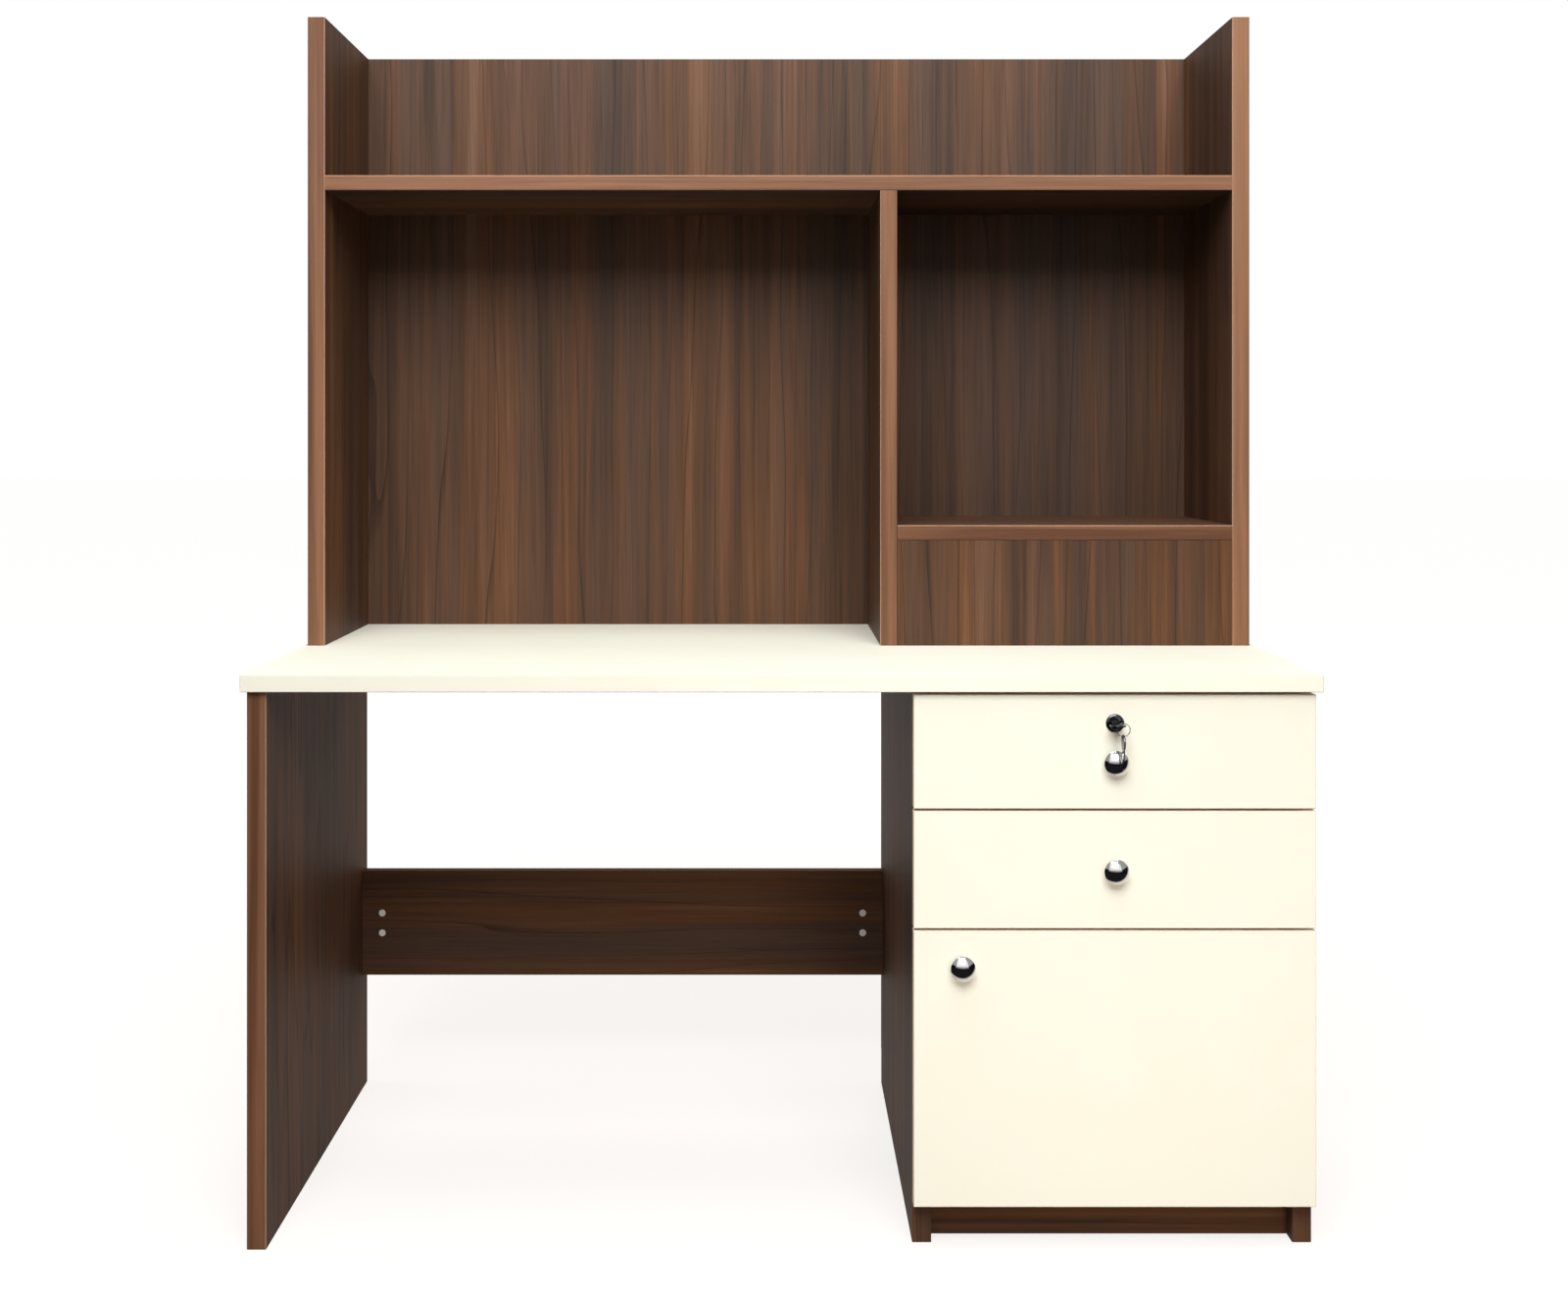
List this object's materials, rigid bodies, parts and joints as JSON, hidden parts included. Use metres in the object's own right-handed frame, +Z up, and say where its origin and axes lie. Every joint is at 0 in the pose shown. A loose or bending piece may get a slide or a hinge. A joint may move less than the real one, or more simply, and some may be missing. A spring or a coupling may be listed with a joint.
{
  "type": "student desk with hutch",
  "caption": "Student desk with an open shelf hutch, and a pedestal with sliding drawers, a cam lock and a hinged cupboard door.",
  "frame": {"origin": "on the floor, under the middle of the whole desk's box, keys included", "axes": "+X to the right seen from the front, +Y to the back, +Z up"},
  "size_m": [1.4, 0.6474, 1.67],
  "materials": {
    "walnut": "dark walnut laminate, satin",
    "ivory": "ivory laminate on particle board, satin",
    "drawer_board": "pale foil on particle board, matt",
    "hardboard": "hardboard, matt",
    "beech": "raw beech",
    "chrome": "polished chrome",
    "dark_nickel": "dark nickel plate, polished",
    "zinc_steel": "zinc plated steel",
    "cam_zinc": "die cast zinc",
    "white_plastic": "white moulded plastic"
  },
  "bodies": {
    "frame": {"desk_top": "ivory", "left_leg_panel": "walnut", "modesty_rail": "walnut", "pedestal_left_side": "walnut", "pedestal_right_side": "walnut", "pedestal_back_panel": "walnut", "pedestal_shelf": "walnut", "cupboard_floor": "walnut", "plinth_board": "walnut", "hutch_left_side": "walnut", "hutch_right_side": "walnut", "hutch_back_panel": "walnut", "hutch_shelf": "walnut", "hutch_divider": "walnut", "cubby_floor": "walnut", "cubby_fascia": "walnut", "desk_dowels": "beech", "pedestal_dowels": "beech", "hutch_dowels": "beech", "rail_cam_bolts": "zinc_steel", "rail_cam_locks": "cam_zinc", "rail_cam_caps": "white_plastic", "back_panel_screws": "zinc_steel", "drawer_1_cabinet_runners": "zinc_steel", "drawer_2_cabinet_runners": "zinc_steel", "lock_strike": "zinc_steel", "hinge_pins": "zinc_steel", "hinge_arms": "zinc_steel", "hinge_plates": "zinc_steel", "fitting_screws": "zinc_steel"},
    "drawer_1": {"drawer_1_front": "ivory", "drawer_1_left_side": "drawer_board", "drawer_1_right_side": "drawer_board", "drawer_1_bottom": "hardboard", "drawer_1_back": "drawer_board", "drawer_1_inner_runners": "zinc_steel", "drawer_1_knob": "chrome", "drawer_1_knob_screw": "zinc_steel", "lock_housing": "dark_nickel", "lock_nut": "zinc_steel"},
    "drawer_1_middle": {"drawer_1_middle_runners": "zinc_steel"},
    "drawer_2": {"drawer_2_front": "ivory", "drawer_2_left_side": "drawer_board", "drawer_2_right_side": "drawer_board", "drawer_2_bottom": "hardboard", "drawer_2_back": "drawer_board", "drawer_2_inner_runners": "zinc_steel", "drawer_2_knob": "chrome", "drawer_2_knob_screw": "zinc_steel"},
    "drawer_2_middle": {"drawer_2_middle_runners": "zinc_steel"},
    "door": {"door_panel": "ivory", "door_knob": "chrome", "door_knob_screw": "zinc_steel", "hinge_cups": "zinc_steel"},
    "lock": {"lock_plug": "dark_nickel", "lock_cam": "zinc_steel", "lock_key": "dark_nickel"},
    "keys": {"key_ring": "dark_nickel", "spare_key": "dark_nickel"}
  },
  "joints": [
    {"name": "drawer_1_slide", "type": "slide", "parent": "frame", "child": "drawer_1", "axis": [0, -1, 0], "range_m": [0, 0.38]},
    {"name": "drawer_1_middle_slide", "type": "slide", "parent": "frame", "child": "drawer_1_middle", "axis": [0, -1, 0], "range_m": [0, 0.19]},
    {"name": "drawer_2_slide", "type": "slide", "parent": "frame", "child": "drawer_2", "axis": [0, -1, 0], "range_m": [0, 0.38]},
    {"name": "drawer_2_middle_slide", "type": "slide", "parent": "frame", "child": "drawer_2_middle", "axis": [0, -1, 0], "range_m": [0, 0.19]},
    {"name": "door_swing", "type": "hinge", "parent": "frame", "child": "door", "pos_m": [0.6855, -0.27925, 0.234], "axis": [0, 0, 1], "range_deg": [0, 95]},
    {"name": "lock_turn", "type": "hinge", "parent": "drawer_1", "child": "lock", "pos_m": [0.432, -0.28825, 0.682], "axis": [0, 1, 0], "range_deg": [0, 90]},
    {"name": "key_ring_hang", "type": "hinge", "parent": "lock", "child": "keys", "pos_m": [0.43781, -0.31325, 0.682], "axis": [0, 1, 0], "range_deg": [-90, 0]}
  ],
  "couplings": [
    {"joint": "drawer_1_middle_slide", "follows": "drawer_1_slide", "ratio": 0.5},
    {"joint": "drawer_2_middle_slide", "follows": "drawer_2_slide", "ratio": 0.5},
    {"joint": "key_ring_hang", "follows": "lock_turn", "ratio": -1}
  ]
}
